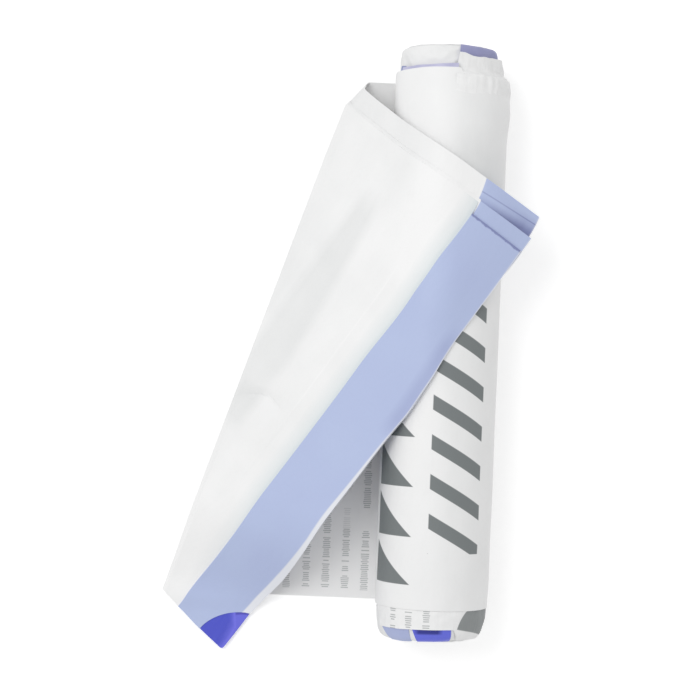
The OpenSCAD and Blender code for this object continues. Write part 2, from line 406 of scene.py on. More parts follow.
class Finish(Nodes):
    """One material and its nodes."""

    def __init__(self, name):
        self.material = bpy.data.materials.new(name)
        self.material.use_nodes = True
        self.tree = self.material.node_tree
        self.tree.nodes.clear()

    def above(self, value, edge, soft):
        """0 below the edge and 1 above it, over a soft width."""
        return self.clamp((value - edge) * (1 / soft) + 0.5)

    def between(self, value, low, high, soft):
        return self.above(value, low, soft) * (1 - self.above(value, high, soft))

    def line(self, value, middle, width, soft):
        return self.between(value, middle - width / 2, middle + width / 2, soft)

    def mix(self, factor, a, b):
        """Colour a where the factor is 0 and b where it is 1."""
        return self.node("ShaderNodeMix", {"data_type": "RGBA"}, {"Factor": factor, 6: a, 7: b}, 2)

    def stretched(self, vector, scale):
        return self.node("ShaderNodeMapping", {}, {"Vector": vector, "Scale": scale})

    def bump(self, height, distance, strength=1.0):
        values = {"Height": height, "Distance": distance, "Strength": strength}
        return self.node("ShaderNodeBump", {}, values)

    def chance(self, x, y):
        """A value from 0 to 1 for each whole number x and y."""
        return self.node("ShaderNodeTexWhiteNoise", {"noise_dimensions": "2D"}, {"Vector": self.join(x, y)})

    def lay(self):
        """The vector that each point of the mesh carries, and its three values."""
        vector = self.node("ShaderNodeAttribute", {"attribute_name": "lay"}, {}, 1)
        return vector, self.split(vector)

    def dashes(self, across, run, pitch, tall, first, count):
        """Rows of fine grey dashes: rows across, dashes along run."""
        row = (across - first) * (1 / pitch) + 0.5
        off = ((row.math("FRACT") - 0.5) * pitch).math("ABSOLUTE")
        cell = run * (1 / 0.95)
        tick = self.between(cell.math("FRACT"), 0.2, 0.72, 0.25)
        which = cell.math("FLOOR")
        rows = row.math("FLOOR")
        shown = self.above(self.chance(which, rows), 0.18, 0.01)
        groups = self.above(self.chance((cell * 0.09).math("FLOOR"), rows + 40), 0.08, 0.01)
        half = tall * (0.3 + 0.2 * self.chance(which + 300, rows))
        inside = 1 - self.above(off - half, 0.0, 0.3)
        return tick * shown * groups * inside * self.between(row, 0, count, 0.01)

    def surface(self, **inputs):
        """The shader itself. Names with underscores stand for the sockets' names."""
        values = {name.replace("_", " "): value for name, value in inputs.items()}
        values["Specular IOR Level"] = SHEEN
        shader = self.node("ShaderNodeBsdfPrincipled", {}, values)
        self.node("ShaderNodeOutputMaterial", {}, {"Surface": shader})
        return self.material


def colour(red, green, blue):
    """Linear colour from one written as 0 to 255 on a screen."""
    def linear(c):
        c = c / 255
        return c / 12.92 if c <= 0.04045 else ((c + 0.055) / 1.055) ** 2.4
    return (linear(red), linear(green), linear(blue), 1.0)


WHITE_FILM = colour(248, 248, 248)
# Random grey tone, and on the flap and the outermost turn also painted shade.
GREYED_FILM = colour(230, 231, 231)
WELD_FILM = colour(222, 229, 231)
HEM_FILM = colour(186, 199, 231)
HEM_SHADE = colour(179, 190, 226)
# Seam tone of the hem, also used as painted shade on it.
HEM_SEAM_AND_SHADE = colour(134, 142, 186)
# The hem's colour darkened: painted shade on the upper end, and a deeper random tone on the hem line.
HEM_DEEP = colour(156, 157, 197)
HEM_EDGE = colour(202, 201, 226)
END_HEM = colour(170, 179, 216)
# The end tape's blue is lighter than the tape's own as painted light; the shade colour is painted shade.
END_TAPE = colour(107, 114, 228)
END_SHADE = colour(30, 34, 122)
STRIPE_GREY = colour(112, 118, 119)
DASH_GREY = colour(150, 155, 156)
TAPE_BLUE = colour(80, 89, 208)
# The fold's colour is a painted highlight; the deep tone is random and also painted shadow.
TAPE_FOLD_HIGHLIGHT = colour(122, 121, 236)
TAPE_DEEP_AND_SHADE = colour(62, 52, 160)
SHEEN = 0.35


def crinkled(f, lay, scale=(0.12, 0.045, 1.0), depth=0.0008, strength=0.5):
    """Fine creases of thin film, longer along the roll than round it."""
    broad = f.noise(f.stretched(lay, scale), 1.0, 4.0, 0.55)
    fine = f.noise(f.stretched(lay, tuple(5 * s for s in scale)), 1.0, 3.0, 0.5)
    return f.bump(broad + 0.2 * fine, depth, strength)


def dent_line(u, y):
    """Distance from the arc of the pressed dent on the flap."""
    return y + 19 + 0.033 * (u - 118.5) ** 2


def flap_white(f, lay, u, y, ply, mottle):
    """White film: painted light on the roll, on its inside, at the lower tip and along the rib, and painted
    shade in the long fold, beside the crease and by the dent; greyer beside the hem and along the upper end.
    """
    inside = 1 - f.above(ply, 0.5, 0.1)
    streak = f.noise(f.stretched(lay, (0.09, 0.02, 1.0)), 1.0, 3.0)
    fold_right = 112.5 - 0.1 * f.clamp(y * (1 / 90)) * 90
    # Painted shade in the long fold beside the crease.
    fold = f.above(u, 91.0, 5) * (1 - f.above(u - fold_right, 0, 5))
    fold = fold * f.above(y, -22, 30) * (1 - f.above(y, 88, 16))
    # Painted light where the flap lies on the roll, and painted shade beside the crease, by the dent and
    # along it.
    on_roll_light = f.above(u, 114, 18) * (0.25 * f.above(y, 24, 30) + 0.75 * f.above(y, 78, 22))
    crease_shade = (1 - f.above(u, 92, 5)) * f.above(y, 14, 20) * (1 - f.above(y, 66, 22))
    dent_shade = f.between(u, 98, 112, 6) * f.between(y, -42, -22, 8)
    pressed = f.line(dent_line(u, y), 0, 0.6, 1.0) * f.between(u, 102, 124, 4)
    # Painted highlight along the rib, and painted light at the lower tip.
    rib = f.line(u, rib_u, 0.5, 0.6) * f.between(y, -20, 86, 24)
    tip = 1 - f.above(y, -78, 50)
    edge = f.between(y, half_w - 11.6, half_w, 0.5)
    # Random tone added to the painted shade and light above; the inner face is made whiter as painted light.
    grey = 0.3 + 0.5 * (mottle - 0.5) + 0.4 * (streak - 0.5) + 0.5 * fold + 0.24 * crease_shade + 0.45 * dent_shade
    grey = grey + 0.3 * pressed + 0.22 * edge - 0.3 * inside - 0.3 * tip - 0.4 * on_roll_light - 0.25 * rib
    white = f.mix(f.clamp(grey), WHITE_FILM, GREYED_FILM)
    beside_hem = (f.above(u, 138.5, 7) + 0.5 * f.above(u, 142.4, 1.5)) * (1 - f.above(u, weld_u + 2, 1))
    beside_hem = beside_hem * f.above(y, -84, 60) * f.above(ply, 2.5, 0.1)
    white = f.mix(f.clamp(beside_hem * 0.66), white, WELD_FILM)
    marks = f.dashes(u, y, 9.8, 4.2, 33.0, 5) * inside * f.between(y, -126, 112, 0.4)
    return f.mix(marks * 0.66, white, DASH_GREY)


def hem_tint(f, lay, u, y, ply):
    """The tape's blue as it shows through the hem: deeper at seams, with painted shade under a ply,
    at the lowest ply's corner and where it bends.
    """
    outer = f.above(ply, 2.5, 0.1)
    lowest = 1 - f.above(ply, 1.5, 0.1)
    uneven = f.noise(f.stretched(lay, (0.35, 0.1, 1.0)), 1.0, 3.0)
    slanted = y - 0.06 * (u - weld_u)
    outer_seam = outer * f.above(y + 1.6 * (uneven - 0.5), outer_hem_end - 0.9, 0.4)
    inner_seam = f.above(ply, 0.5, 0.1) * lowest * f.line(y - 0.08 * (u - weld_u), 123.2, 0.6, 0.3)
    # Painted shade on the lowest ply: under the edge of the ply above it, and at its hanging corner.
    under = lowest * (1 - f.above(slanted, 119.5, 5.0)) * f.above(y, 60, 10)
    under = under * (0.3 + 0.7 * f.above(u, 146, 16))
    corner = lowest * f.above(u, 162, 14) * (1 - f.above(slanted, 124.5, 4.0)) * f.above(y, 100, 10)
    # Painted shade where the outer hem bends down.
    bent = outer * f.above(u, 169, 4) * f.between(y, 8, 62, 12)
    shade = outer_seam + 0.55 * inner_seam + 0.9 * under + (0.35 + 0.3 * uneven) * corner + 0.28 * bent
    tint = f.mix(f.noise(lay, 0.03, 2.0), HEM_FILM, HEM_SHADE)
    return f.mix(f.clamp(shade), tint, HEM_SEAM_AND_SHADE)


def film_finish():
    """White film with its hem. lay holds u, y and the number of the ply, 0 inside."""
    f = Finish("folded_film")
    lay, (u, y, ply) = f.lay()
    mottle = f.noise(lay, 0.05, 3.0)
    margin = 0.3 + 1.7 * f.clamp((8 - y) * (1 / 50)) + 1.5 * f.clamp((-60 - y) * (1 / 25))
    hem = f.above(u, weld_u, 0.4) * (1 - 0.78 * f.above(u + margin, pulled_run, 0.7))
    base = f.mix(hem, flap_white(f, lay, u, y, ply, mottle), hem_tint(f, lay, u, y, ply))
    return f.surface(Base_Color=base, Roughness=0.42 + 0.2 * mottle, Normal=crinkled(f, lay))


def turn_finish():
    """The outermost turn with its stripes and wedges, and painted shadow beside the flap's edge. lay holds
    the arc from the top, y and the face.
    """
    f = Finish("printed_turn_film")
    lay, (arc, y, _) = f.lay()
    mottle = f.noise(lay, 0.05, 3.0)
    # Painted shadow of the flap's edge on the roll, and a greyer band just right of the top.
    flap_shadow_paint = f.above(arc, 3, 8) * (1 - f.above(arc, 26, 24)) * f.above(y, 60, 10) * (1 - f.above(y, 98, 16))
    beside_top = f.between(arc, 2, 24, 8)
    white = f.mix(f.clamp(mottle * 0.5 + 0.6 * flap_shadow_paint + 0.22 * beside_top), WHITE_FILM, GREYED_FILM)
    slant = (y + arc * 0.55) * (1 / 19)
    stripe = f.between(slant.math("FRACT"), 0.2, 0.58, 0.02)
    stripe = stripe * f.between(arc, -4, 23, 0.3) * f.between(y, -101, 40, 0.3)
    saw = (y * (1 / 24)).math("FRACT")
    wedge = f.above(saw, 0.1, 0.01) * (1 - f.above((arc + 37) * (1 / 28) + saw, 0.98, 0.02))
    wedge = wedge * f.between(arc, -37, -9, 0.3) * f.between(y, -120, 24, 0.3)
    base = f.mix(f.clamp(stripe + wedge) * 0.96, white, STRIPE_GREY)
    return f.surface(Base_Color=base, Roughness=0.42 + 0.2 * mottle, Normal=crinkled(f, lay))


def wound_finish():
    """Film of the turns that are still wound."""
    f = Finish("wound_film")
    place = f.node("ShaderNodeTexCoord", {}, {}, 3)
    mottle = f.noise(place, 60.0, 3.0)
    base = f.mix(f.clamp(0.1 + mottle), WHITE_FILM, GREYED_FILM)
    normal = f.bump(f.noise(place, 170.0, 3.0), 0.0007, 0.5)
    return f.surface(Base_Color=base, Roughness=0.45 + 0.15 * mottle, Normal=normal)


def patch_finish(name, tone, deep):
    """Plain film or tape of one colour with a little of a deeper one."""
    f = Finish(name)
    place = f.node("ShaderNodeTexCoord", {}, {}, 3)
    mottle = f.noise(place, 90.0, 3.0)
    base = f.mix(f.clamp(mottle * 1.6 - 0.5), tone, deep)
    normal = f.bump(f.noise(place, 220.0, 3.0), 0.0006, 0.45)
    return f.surface(Base_Color=base, Roughness=0.36 + 0.15 * mottle, Normal=normal)


def end_tape_finish():
    """Bare tape of the bag below, lighter than the tape in the hem as painted light, and in painted deep
    shade beside the film over it. lay holds the angle and y.
    """
    f = Finish("end_tape")
    lay, (turn, y, _) = f.lay()
    shaded = f.above(y + half_w, -9.5, 1.0) * f.between(turn, -17, 9, 6)
    tone = f.mix(f.noise(lay, 0.3, 3.0) * 0.3, END_TAPE, TAPE_BLUE)
    tone = f.mix(shaded * 0.85, tone, END_SHADE)
    return f.surface(Base_Color=tone, Roughness=0.36, Normal=crinkled(f, lay, (0.3, 0.2, 1.0)))


def tape_finish():
    """Drawstring tape, with a painted highlight on the fold that starts at its corner and painted shadow
    just inside the rim of the hand hole. lay holds u, y and the face.
    """
    f = Finish("drawstring_tape")
    lay, (u, y, _) = f.lay()
    run = y + half_w
    from_edge = pulled_run - u
    bent = (run - tape_fold_turn).math("MAXIMUM", 0.0)
    from_fold = from_edge - tape_fold_lean * run - tape_fold_bent * bent
    near = 1 - f.above(run, cut_len + 6, 4)
    beside = 1 - f.above(from_fold, 1.8, 5.0)
    # Painted highlight along the tape's fold.
    light = (beside * beside - 0.35 * (1 - f.above(from_fold, -0.8, 1.2))) * near
    hole_edge = cut_deep * f.clamp(1 - (run / cut_len) ** 2.0) ** cut_power
    # Painted shadow just inside the rim of the hand hole.
    deep = f.above(from_edge - hole_edge, -1.9, 0.9) * (1 - f.above(from_fold, -1.2, 1.0))
    deep = deep * f.above(run, 13, 1) * near
    tone = f.mix(f.noise(f.stretched(lay, (0.3, 0.06, 1.0)), 1.0, 3.0) * 0.25, TAPE_BLUE, TAPE_DEEP_AND_SHADE)
    tone = f.mix(f.clamp(light), tone, TAPE_FOLD_HIGHLIGHT)
    tone = f.mix(f.clamp(deep * 0.6), tone, TAPE_DEEP_AND_SHADE)
    return f.surface(Base_Color=tone, Roughness=0.34, Normal=crinkled(f, lay, (0.4, 0.1, 1.0)))


def cover_finish():
    """Film folded over the upper end. lay holds the angle from the top in degrees, y and the face."""
    f = Finish("upper_cover_film")
    lay, (_, y, _) = f.lay()
    mottle = f.noise(f.stretched(lay, (0.1, 0.3, 1.0)), 1.0, 3.0)
    base = f.mix(f.clamp(0.4 * mottle + 0.2 * mottle * f.above(y, 126, 12)), WHITE_FILM, GREYED_FILM)
    normal = crinkled(f, lay, (0.2, 0.12, 1.0), 0.001)
    return f.surface(Base_Color=base, Roughness=0.42 + 0.2 * mottle, Normal=normal)


def lower_cover_finish():
    """Film over the lower end, with rows of dashes and a grey disc. lay is as on the upper cover."""
    f = Finish("lower_cover_film")
    lay, (turn, y, _) = f.lay()
    mottle = f.noise(f.stretched(lay, (0.1, 0.3, 1.0)), 1.0, 3.0)
    base = f.mix(mottle * 0.5, WHITE_FILM, GREYED_FILM)
    arc = turn * (math.radians(1) * rim_r)
    marks = f.dashes(arc, y, 8.5, 3.6, -20.0, 3) * f.between(arc, -26, 2, 0.3)
    base = f.mix(marks * 0.7, base, DASH_GREY)
    disc_arc = 28.5
    disc_y = -140.2
    disc_r = 16.4
    across = arc - disc_arc
    down = y - disc_y
    disc = 1 - f.above((across * across + down * down).math("SQRT"), disc_r, 0.4)
    disc = disc * f.above(y + 0.18 * arc, -134.9, 0.4)
    base = f.mix(disc * 0.86, base, STRIPE_GREY)
    normal = crinkled(f, lay, (0.2, 0.12, 1.0), 0.001)
    return f.surface(Base_Color=base, Roughness=0.42 + 0.2 * mottle, Normal=normal)


# The outer bag, as plies that lie on one another
SHEET_N = 30
BEND_N = 9
FLAP_N = 70
HEM_N = 24
ROWS = 130
HOLE_ROWS = 22


def fold_right_u(y):
    """Right side of the long soft fold of the flap, which lies beside the crease."""
    return 111.5 - 0.12 * np.clip(y, 0, 90)


def rumple(u, y):
    """How far the flap stands off its even lie."""
    free = smooth((u - crease_u(y) - 4) / 14) * smooth((pulled_run + 6 - u) / 30)
    wave = 0.14 * (1 + waves(u, y, 30, 4)) + 0.2 * free * (1 + waves(u, y * 0.35, 17, 11))
    reach = smooth((y + 26) / 12) * smooth((104 - y) / 30)
    valley = -0.8 * hump(u - 91.5, 3.2) * reach + 0.5 * hump(u - fold_right_u(y), 5.0) * reach
    dent = -1.3 * hump(dent_line(u, y), 1.7) * hump(u - 112, 10.0)
    rib = 0.18 * hump(u - rib_u, 0.9) * smooth((y + 70) / 20) * smooth((96 - y) / 10)
    return wave + 1.0 + valley + dent + rib


def corner_sag(u, y):
    """How far the free upper corner of the hem hangs below its straight line past the roll."""
    return 4.2 * smooth((u - 150) / 30) ** 1.5 * smooth((y - 20) / 70)


def let_out(u, y):
    """The film runs a little past its even edge at the lower end of the flap."""
    return y - 1.6 * (1 - smooth((y + half_w) / 34)) * smooth((u - crease_u(y)) / 36)


def tip_slide(u, y):
    """The lower tip of the hem lies a little to the right of its even place."""
    return 1.5 * smooth((u - 150) / 24) * (1 - smooth((y + half_w - 4) / 40))


def hem_slide(u, y):
    """How far the hem lies past its even place: its inner edge by weld and its outer one by free."""
    weld = -0.8 * smooth((y + 130) / 20) + 1.9 * smooth((y - 22) / 40) - 0.7 * smooth((y - 74) / 16)
    free = 2.3 * smooth((62 - y) / 25) * smooth((y + 112) / 30) + 1.3 * hump(y - 22, 14)
    beside = weld * smooth((u - weld_u + 24) / 24)
    return np.where(u < weld_u, beside, along(weld, free, np.clip((u - weld_u) / hem_w, 0, 1)))


def hem_shift(y, own_shift):
    """How far a ply's hem has slid past its even place at the upper corner."""
    return own_shift * smooth((y - 96) / 14)


def lowest_sag(u, y):
    """The lowest ply hangs a little away from the others at that corner."""
    return 2.6 * smooth((u - 144) / 26) * smooth((y - 104) / 14)


def ply_point(u, y, depth, own_sag=None):
    """A point of the flap, depth out from the middle of the film."""
    sag = corner_sag(u, y)
    if own_sag is not None:
        sag = sag + own_sag(u, y)
    out = (depth + rumple(u, y))[..., None]
    v = let_out(u, y) + 0.035 * np.maximum(0, u - weld_u) * smooth((y - 90) / 30)
    slid = u + hem_slide(u, y)
    return flap_at(slid, v) + normal_of(flap_at, slid, v) * out + points(tip_slide(u, y), 0, -sag)


def hem_reach(y):
    """Where a row of the hem ends: at its edge, or at the rim of the rounded hand hole."""
    k = np.clip((y + half_w) / cut_len, 0, 1)
    return pulled_run - cut_deep * (1 - k * k) ** cut_power


def spread(end):
    """Rows from the lower corner to end, close together where they end at the hand hole."""
    hole = np.linspace(-half_w, cut_len - half_w, HOLE_ROWS)
    rest = np.linspace(cut_len - half_w, end, ROWS - HOLE_ROWS + 1)[1:]
    return np.concatenate([hole, rest])[:, None]


def film_grid(depth_film, depth_hem, film_end, hem_end, own_sag, own_shift):
    """Points and lay of one face of a ply, which ends at film_end, and at hem_end beside the hem."""
    y_film = spread(film_end)
    y_hem = spread(hem_end)
    k = np.linspace(0, 1, SHEET_N)[None, :]
    u = along(spot_half / 2, crease_end(y_film), k)
    y = np.broadcast_to(y_film, u.shape)
    parts = [sheet_at(u, y) + normal_of(sheet_at, u, y) * depth_film]
    lays = [points(u, y, 0)]
    k = np.linspace(0, 1, BEND_N)[None, 1:-1]
    parts.append(bend_at(k, y_film, depth_film))
    lays.append(points(crease_end(y_film) + 0 * k, y_film, 0))
    k = np.linspace(0, 1, FLAP_N)[None, :]
    u = along(crease_end(y_film), weld_u - nudge, k)
    y = np.broadcast_to(y_film, u.shape)
    start = smooth(k * FLAP_N / 6)[..., None]
    even = flap_at(u, y) + normal_of(flap_at, u, y) * depth_film
    slid = u + hem_shift(y, own_shift) * smooth((u - weld_u + 24) / 24)
    parts.append(along(even, ply_point(slid, y, depth_film, own_sag), start))
    lays.append(points(u, y, 0))
    k = np.linspace(0, 1, HEM_N)[None, :]
    u = along(weld_u + nudge, hem_reach(y_hem), k)
    y = np.broadcast_to(y_hem, u.shape)
    parts.append(ply_point(u + hem_shift(y, own_shift), y, depth_hem, own_sag))
    lays.append(points(u, y, 0))
    return np.concatenate(parts, axis=1), np.concatenate(lays, axis=1)


def film_ply(name, number, film_span, hem_span, ends, finish, own_sag=None, own_shift=0.0):
    inner, lay = film_grid(film_span[0], hem_span[0], *ends, own_sag, own_shift)
    outer, lay = film_grid(film_span[1], hem_span[1], *ends, own_sag, own_shift)
    return shell(name, outer, inner, finish, lay, number=number)


def from_tape_fold(u, y):
    """Distance from the fold of the tape, which starts at its corner and turns inward under the hem."""
    run = y + half_w
    bent = np.maximum(0, run - tape_fold_turn)
    return pulled_run - u - tape_fold_lean * run - tape_fold_bent * bent


def hem_tape(finish):
    """The drawstring tape within the hem. At the hand hole it reaches the edges of the folded bag."""
    corner_r = 1.6
    inset = 0.15
    bottom = inset - half_w
    top = outer_hem_end - seal_w
    y = np.linspace(bottom, top, ROWS)[:, None]
    y[:8, 0] = bottom + corner_r * (1 - np.cos(np.linspace(0, math.pi / 2, 8)))
    y[8:, 0] = np.linspace(bottom + corner_r + 0.5, top, ROWS - 8)
    in_hole = smooth((cut_len + 4 - half_w - y) / 4)
    right = pulled_run - tape_margin + (tape_margin - inset) * in_hole
    tip = np.clip((y - bottom) / corner_r, 0, 1)
    right = right - corner_r * (1 - np.sqrt(1 - (1 - tip) ** 2))
    u = along(pulled_run - tape_margin - tape_w, right, np.linspace(0, 1, 16)[None, :])
    y = np.broadcast_to(y, u.shape)
    inside = smooth((u - hem_reach(y) - 0.3) / 2)
    fold = 0.4 * hump(from_tape_fold(u, y) - 0.6, 1.5) * inside * smooth((cut_len - half_w - y) / 3)
    lay = points(u, y, 0)
    return shell("hem_tape", ply_point(u, y, 0.66 + fold), ply_point(u, y, 0.45 + fold), finish, lay)


# The roll: the outermost turn and the turns that are still wound
TURN_N = 180


def squeeze(turn, y):
    """How far the roll is drawn in near its ends: at the upper one on the right, under the cover."""
    right = smooth((np.sin(turn) - 0.2) / 0.7)
    upper = right * (1.0 * smooth((y - 124) / 8) - 1.2 * hump(y - 113, 9))
    return upper + 0.4 * smooth((-114 - y) / 16) * smooth((np.cos(turn) + 0.7) / 0.5)


def pleats(turn, y):
    """Short folds on the right, where the film is gathered to cover the upper end."""
    return 0.3 * np.sin(turn * 38 + y * 0.06) * hump(turn - 0.72, 0.2) * hump(y - 127, 6)


def run_on(turn, y):
    """The outermost turn runs on past its even end at the upper left, and stops short at the lower end."""
    y = y + 1.6 * smooth((-100 - y) / 30)
    longer = 1.5 + 0.6 * smooth((np.sin(turn) + 0.9) / 0.5)
    on_left = smooth((0.14 - np.sin(turn)) / 0.05) * smooth(np.cos(turn) / 0.2)
    return y + longer * smooth((y - 100) / 30) * on_left


def turn_grid(r, floor_z, ends):
    turn = np.linspace(0, 2 * math.pi, TURN_N, endpoint=False)[None, :]
    y = np.linspace(-1, 1, ROWS)[:, None] * ends
    wave = 0.12 * waves(np.sin(turn) * roll_r, np.cos(turn) * roll_r + y, 26, 7)
    round_r = r - squeeze(turn, y) + wave
    x = round_r * np.sin(turn)
    z = np.maximum(axis_z + round_r * np.cos(turn), floor_z)
    arc = np.where(turn > math.pi, turn - 2 * math.pi, turn) * roll_r
    return points(x, run_on(turn, y), z), points(arc, y, 0)


def outer_turn(finish):
    outer, lay = turn_grid(roll_r - 0.15, 0, half_w)
    inner, lay = turn_grid(roll_r - film_t, film_t, half_w)
    return shell("outer_turn", outer, inner, finish, lay, True)


class End:
    """One end of the winding: side is 1 at the upper end and -1 at the lower one.

    square is how square its shoulder is on the left and on the right, and draw how far it is drawn in on
    each. rough is how deep its dents are, and out how much farther it stands out on the left.
    """

    def __init__(self, side, square, draw, rough=1.0, out=0.0):
        self.side = side
        self.square = square
        self.draw = draw
        self.rough = rough
        self.out = out

    def shoulder(self, turn, up):
        """Radius, and height past the outermost turn, for up from 0 at the rim to 90 degrees on the flat."""
        right = smooth((np.sin(turn) + 0.35) / 1.1)
        k = np.cos(up) ** (2 / along(*self.square, right))
        rise = end_rise + self.out * smooth((0.25 - np.sin(turn)) / 1.1)
        return along(shoulder_r, rim_r - along(*self.draw, right), k), rise * np.sin(up)

    def lifted(self, turn, up, lift):
        """As shoulder, but lift out from it."""
        step = 0.01
        r0, h0 = self.shoulder(turn, np.maximum(up - step, 0))
        r1, h1 = self.shoulder(turn, up + step)
        size = np.hypot(r1 - r0, h1 - h0)
        r, h = self.shoulder(turn, up)
        return r + lift * (h1 - h0) / size, h - lift * (r1 - r0) / size

    def place(self, turn, r, h):
        """A point at an angle and radius, h past the end of the outermost turn."""
        z = np.maximum(axis_z + r * np.cos(turn), film_t + turn_gap)
        return points(r * np.sin(turn), self.side * (half_w + h), z)


UPPER = End(1, (20.0, 12.0), (0.2, 4.0), rough=1.8)
COVERED = End(1, (20.0, 4.5), (0.2, 1.9))
LOWER = End(-1, (6.0, 3.8), (-0.7, -0.3), out=1.3)
lip_up = math.radians(72)
lip_margin = 1.2
face_drop = 1.9
wound_pitch = 1.25


def pressed(x, z, near):
    """x and z pressed into the eye's tilted oval, near from 0 for a round ring to 1 at the eye."""
    x = x * (1 + near * (eye_w / (2 * eye_r) - 1))
    z = z * (1 + near * (eye_h / (2 * eye_r) - 1))
    spun_x = x * math.cos(eye_tilt) - z * math.sin(eye_tilt)
    spun_z = x * math.sin(eye_tilt) + z * math.cos(eye_tilt)
    return along(x, spun_x, near), along(z, spun_z, near)


def end_rings(end, turn):
    """Rings of the winding from the bottom of its eye out to its rim."""
    rings = []
    lip_r, lip_h = end.shoulder(turn, lip_up)
    face_h = end_rise - face_drop
    bottom = end_rise - eye_depth
    for r, h in ((0.3, bottom), (eye_r * 0.9, bottom), (eye_r, face_h - 1.0), (eye_r + 0.4, face_h)):
        rings.append(eye_ring(end, turn, r + 0 * turn, h + 0 * turn))
    for k in np.linspace(0.1, 1, 9):
        r = along(eye_r + 0.4, lip_r - 0.5, k)
        rings.append(eye_ring(end, turn, r, face_h + 0 * turn))
    rings.append(end.place(turn, lip_r - 0.4, lip_h - 0.3))
    for up in np.linspace(lip_up, 0, 22):
        r, h = end.shoulder(turn, up)
        x = np.sin(turn) * r
        z = np.cos(turn) * r + h
        broad = 0.14 * waves(x, z, 12, 21 + end.side)
        small = 0.25 * end.rough * np.abs(waves(x, z, 5.5, 27 + end.side))
        rings.append(end.place(turn, r + (broad - small) * math.sin(2 * up), h))
    return rings


def eye_ring(end, turn, r, h):
    x, z = pressed(r * np.sin(turn), r * np.cos(turn), hump(r, eye_reach))
    return points(x, end.side * (half_w + h), axis_z + z)


def winding(finish):
    """The turns that are still wound, as one closed body from the eye of one end to the eye of the other."""
    turn = np.linspace(0, 2 * math.pi, TURN_N, endpoint=False)
    lower = end_rings(LOWER, turn)
    upper = end_rings(UPPER, turn)
    barrel = []
    for y in np.linspace(-half_w, half_w, 40):
        r = inner_r - squeeze(turn, y)
        z = np.maximum(axis_z + r * np.cos(turn), film_t + turn_gap)
        barrel.append(points(r * np.sin(turn), y, z))
    rings = np.array(lower + barrel + upper[::-1])
    rows = len(rings)
    faces = []
    for i in range(rows - 1):
        for j in range(TURN_N):
            k = (j + 1) % TURN_N
            faces.append((i * TURN_N + j, i * TURN_N + k, (i + 1) * TURN_N + k, (i + 1) * TURN_N + j))
    faces.append(tuple(reversed(range(TURN_N))))
    faces.append(tuple((rows - 1) * TURN_N + j for j in range(TURN_N)))
    return mesh_piece("wound_turns", rings.reshape(-1, 3), faces, finish)


class Shape(Nodes):
    """A tree of Geometry Nodes that makes one piece, with named inputs in metres."""

    def __init__(self, name, **sizes):
        self.name = name
        self.sizes = sizes
        self.tree = bpy.data.node_groups.new(name, "GeometryNodeTree")
        self.keys = {}
        for label, value in sizes.items():
            kind = "NodeSocketInt" if isinstance(value, int) else "NodeSocketFloat"
            socket = self.tree.interface.new_socket(label, in_out="INPUT", socket_type=kind)
            self.keys[label] = socket.identifier
        self.tree.interface.new_socket("Geometry", in_out="OUTPUT", socket_type="NodeSocketGeometry")
        given = self.tree.nodes.new("NodeGroupInput")
        for label in sizes:
            setattr(self, label, Value(self, given.outputs[label]))

    def piece(self, geometry, finish):
        """Ends the tree, runs it once and gives its result as an object with a plain mesh."""
        real = self.node("GeometryNodeRealizeInstances", {}, {"Geometry": geometry})
        done = self.node("GeometryNodeSetMaterial", {}, {"Geometry": real, "Material": finish})
        result = self.tree.nodes.new("NodeGroupOutput")
        self.tree.links.new(done.socket, result.inputs[0])
        obj = bpy.data.objects.new(self.name, bpy.data.meshes.new(self.name))
        bpy.context.scene.collection.objects.link(obj)
        modifier = obj.modifiers.new("shape", "NODES")
        modifier.node_group = self.tree
        for label, value in self.sizes.items():
            modifier[self.keys[label]] = value
        graph = bpy.context.evaluated_depsgraph_get()
        mesh = bpy.data.meshes.new_from_object(obj.evaluated_get(graph), depsgraph=graph)
        obj.modifiers.clear()
        obj.data = mesh
        return obj


